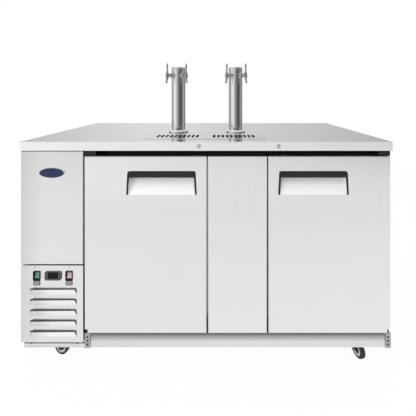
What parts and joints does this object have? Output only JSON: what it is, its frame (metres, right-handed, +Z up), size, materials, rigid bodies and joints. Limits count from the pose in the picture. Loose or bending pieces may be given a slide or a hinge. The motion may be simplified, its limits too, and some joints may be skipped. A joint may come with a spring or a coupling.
{
  "type": "kegerator",
  "caption": "Two-door direct-draw beer cooler on swivel casters, with a compressor bay, a drip tray and two towers that each carry a pair of lever faucets.",
  "frame": {"origin": "on the floor, under the middle of the footprint", "axes": "+X to the right along the front, +Y to the back, +Z up"},
  "size_m": [1.764, 0.714, 1.4713],
  "materials": {
    "brushed_stainless": "satin brushed",
    "lining_steel": "satin",
    "polished_chrome": "polished",
    "galvanised_steel": "galvanised",
    "dark_steel": "dark, semi-gloss",
    "black_plastic": "fine-grained",
    "grey_plastic": "fine-grained",
    "gasket_vinyl": "soft matte",
    "black_rubber": "matte",
    "navy_enamel": "gloss",
    "green_lens": "gloss",
    "rose_lens": "gloss",
    "black_enamel": "semi-gloss",
    "condenser_fins": "dull"
  },
  "bodies": {
    "cooler": {"base_frame": "galvanised_steel", "kick_rail": "brushed_stainless", "insulated_cabinet": "lining_steel", "keg_floor_plate": "lining_steel", "centre_post": "brushed_stainless", "side_panel": "brushed_stainless", "rear_vent_panel": "galvanised_steel", "upper_front_panel": "brushed_stainless", "louvre_panel": "brushed_stainless", "badge_plate": "navy_enamel", "countertop": "brushed_stainless", "drip_pan": "brushed_stainless", "lower_hinge_left": "galvanised_steel", "lower_hinge_right": "galvanised_steel", "upper_hinge_left": "dark_steel", "upper_hinge_right": "dark_steel", "light_switch_housing": "black_plastic", "power_switch_housing": "black_plastic", "thermostat": "grey_plastic", "tower_column_left": "polished_chrome", "tower_cap_left": "polished_chrome", "tower_column_right": "polished_chrome", "tower_cap_right": "polished_chrome", "faucet_body_left_a": "polished_chrome", "faucet_body_left_b": "polished_chrome", "faucet_body_right_a": "polished_chrome", "faucet_body_right_b": "polished_chrome", "condenser": "condenser_fins", "condenser_fan_motor": "dark_steel", "compressor": "black_enamel", "evaporator_housing": "lining_steel"},
    "grille": {"drip_grille": "brushed_stainless"},
    "left_door": {"left_door_shell": "brushed_stainless", "left_door_liner": "lining_steel", "left_door_gasket": "gasket_vinyl", "left_door_handle": "black_plastic"},
    "right_door": {"right_door_shell": "brushed_stainless", "right_door_liner": "lining_steel", "right_door_gasket": "gasket_vinyl", "right_door_handle": "black_plastic"},
    "left_lock": {"lock_left": "polished_chrome"},
    "right_lock": {"lock_right": "polished_chrome"},
    "light_rocker": {"light_switch_rocker": "green_lens"},
    "power_rocker": {"power_switch_rocker": "rose_lens"},
    "left_button": {"thermostat_button_left": "grey_plastic"},
    "right_button": {"thermostat_button_right": "grey_plastic"},
    "lever_left_a": {"faucet_lever_left_a": "polished_chrome"},
    "lever_left_b": {"faucet_lever_left_b": "polished_chrome"},
    "lever_right_a": {"faucet_lever_right_a": "polished_chrome"},
    "lever_right_b": {"faucet_lever_right_b": "polished_chrome"},
    "fork_front_left": {"caster_fork_front_left": "black_enamel"},
    "wheel_front_left": {"caster_wheel_front_left": "black_rubber"},
    "fork_front_right": {"caster_fork_front_right": "black_enamel"},
    "wheel_front_right": {"caster_wheel_front_right": "black_rubber"},
    "fork_rear_left": {"caster_fork_rear_left": "black_enamel"},
    "wheel_rear_left": {"caster_wheel_rear_left": "black_rubber"},
    "fork_rear_right": {"caster_fork_rear_right": "black_enamel"},
    "wheel_rear_right": {"caster_wheel_rear_right": "black_rubber"},
    "condenser_rotor": {"condenser_fan": "black_plastic"},
    "evaporator_rotor": {"evaporator_fan": "black_plastic"}
  },
  "joints": [
    {"name": "left_door_hinge", "type": "hinge", "parent": "cooler", "child": "left_door", "pos_m": [-0.568, -0.339, 0.581], "axis": [0, 0, -1], "range_deg": [0, 105], "stiffness_Nm_per_rad": 2, "springref_deg": -28.65},
    {"name": "right_door_hinge", "type": "hinge", "parent": "cooler", "child": "right_door", "pos_m": [0.864, -0.339, 0.581], "axis": [0, 0, 1], "range_deg": [0, 105], "stiffness_Nm_per_rad": 2, "springref_deg": -28.65},
    {"name": "left_lock_turn", "type": "hinge", "parent": "cooler", "child": "left_lock", "pos_m": [-0.035, -0.3375, 1.049], "axis": [0, -1, 0], "range_deg": [0, 90]},
    {"name": "right_lock_turn", "type": "hinge", "parent": "cooler", "child": "right_lock", "pos_m": [0.341, -0.3375, 1.049], "axis": [0, 1, 0], "range_deg": [0, 90]},
    {"name": "grille_lift", "type": "slide", "parent": "cooler", "child": "grille", "axis": [0, 0, 1], "range_m": [0, 0.06]},
    {"name": "light_rocker_tilt", "type": "hinge", "parent": "cooler", "child": "light_rocker", "pos_m": [-0.803, -0.346, 0.4355], "axis": [1, 0, 0], "range_deg": [0, 18]},
    {"name": "power_rocker_tilt", "type": "hinge", "parent": "cooler", "child": "power_rocker", "pos_m": [-0.65, -0.346, 0.4355], "axis": [1, 0, 0], "range_deg": [0, 18]},
    {"name": "left_button_press", "type": "slide", "parent": "cooler", "child": "left_button", "axis": [0, 1, 0], "range_m": [0, 0.0012], "stiffness_N_per_m": 300, "springref_m": -0.0005},
    {"name": "right_button_press", "type": "slide", "parent": "cooler", "child": "right_button", "axis": [0, 1, 0], "range_m": [0, 0.0012], "stiffness_N_per_m": 300, "springref_m": -0.0005},
    {"name": "lever_left_a_pull", "type": "hinge", "parent": "cooler", "child": "lever_left_a", "pos_m": [-0.23599, -0.11335, 1.4073], "axis": [0.766, -0.6428, 0], "range_deg": [0, 35]},
    {"name": "lever_left_b_pull", "type": "hinge", "parent": "cooler", "child": "lever_left_b", "pos_m": [-0.12801, -0.11335, 1.4073], "axis": [0.766, 0.6428, 0], "range_deg": [0, 35]},
    {"name": "lever_right_a_pull", "type": "hinge", "parent": "cooler", "child": "lever_right_a", "pos_m": [0.10401, -0.11335, 1.4073], "axis": [0.766, -0.6428, 0], "range_deg": [0, 35]},
    {"name": "lever_right_b_pull", "type": "hinge", "parent": "cooler", "child": "lever_right_b", "pos_m": [0.21199, -0.11335, 1.4073], "axis": [0.766, 0.6428, 0], "range_deg": [0, 35]},
    {"name": "front_left_swivel", "type": "hinge", "parent": "cooler", "child": "fork_front_left", "pos_m": [-0.743, -0.277, 0.09], "axis": [0, 0, 1], "continuous": true},
    {"name": "front_left_roll", "type": "hinge", "parent": "fork_front_left", "child": "wheel_front_left", "pos_m": [-0.72351, -0.2815, 0.038], "axis": [0.225, 0.9744, 0], "continuous": true},
    {"name": "front_right_swivel", "type": "hinge", "parent": "cooler", "child": "fork_front_right", "pos_m": [0.743, -0.277, 0.09], "axis": [0, 0, 1], "continuous": true},
    {"name": "front_right_roll", "type": "hinge", "parent": "fork_front_right", "child": "wheel_front_right", "pos_m": [0.7475, -0.29649, 0.038], "axis": [0.9744, 0.225, 0], "continuous": true},
    {"name": "rear_left_swivel", "type": "hinge", "parent": "cooler", "child": "fork_rear_left", "pos_m": [-0.743, 0.301, 0.09], "axis": [0, 0, 1], "continuous": true},
    {"name": "rear_left_roll", "type": "hinge", "parent": "fork_rear_left", "child": "wheel_rear_left", "pos_m": [-0.72421, 0.29416, 0.038], "axis": [0.342, 0.9397, 0], "continuous": true},
    {"name": "rear_right_swivel", "type": "hinge", "parent": "cooler", "child": "fork_rear_right", "pos_m": [0.743, 0.301, 0.09], "axis": [0, 0, 1], "continuous": true},
    {"name": "rear_right_roll", "type": "hinge", "parent": "fork_rear_right", "child": "wheel_rear_right", "pos_m": [0.72421, 0.29416, 0.038], "axis": [0.342, -0.9397, 0], "continuous": true},
    {"name": "condenser_fan_spin", "type": "hinge", "parent": "cooler", "child": "condenser_rotor", "pos_m": [-0.73, -0.191, 0.248], "axis": [0, 1, 0], "continuous": true},
    {"name": "evaporator_fan_spin", "type": "hinge", "parent": "cooler", "child": "evaporator_rotor", "pos_m": [-0.4627, 0.0583, 0.8347], "axis": [1, 0, 0], "continuous": true}
  ]
}
